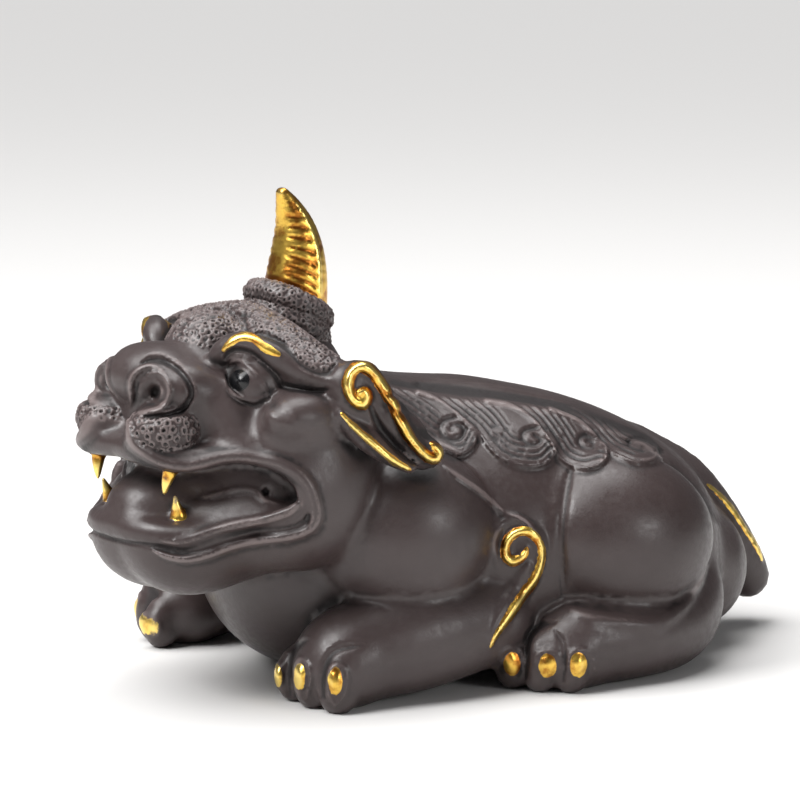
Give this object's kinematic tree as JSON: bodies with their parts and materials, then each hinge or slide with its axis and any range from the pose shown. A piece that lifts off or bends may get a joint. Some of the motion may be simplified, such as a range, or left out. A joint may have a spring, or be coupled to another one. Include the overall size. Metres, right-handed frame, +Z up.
{
  "type": "pixiu figure",
  "caption": "Crouching one-horned pixiu in dark unglazed stoneware with a turned open-mouthed head, curled mane locks, folded legs and gilded horn, ears, claws and tail.",
  "frame": {"origin": "middle of the figure's length and width, at the flat underside it lies on", "axes": "+Z up, -Y the way the body faces, +X the figure's own left side; the head is turned 15 degrees towards +X"},
  "size_m": [0.085, 0.139, 0.088],
  "materials": {
    "stoneware": "satin, unglazed, burnished by handling, with gold paint on its raised edges"
  },
  "bodies": {
    "root": {"pixiu_figure": "stoneware"}
  },
  "joints": []
}
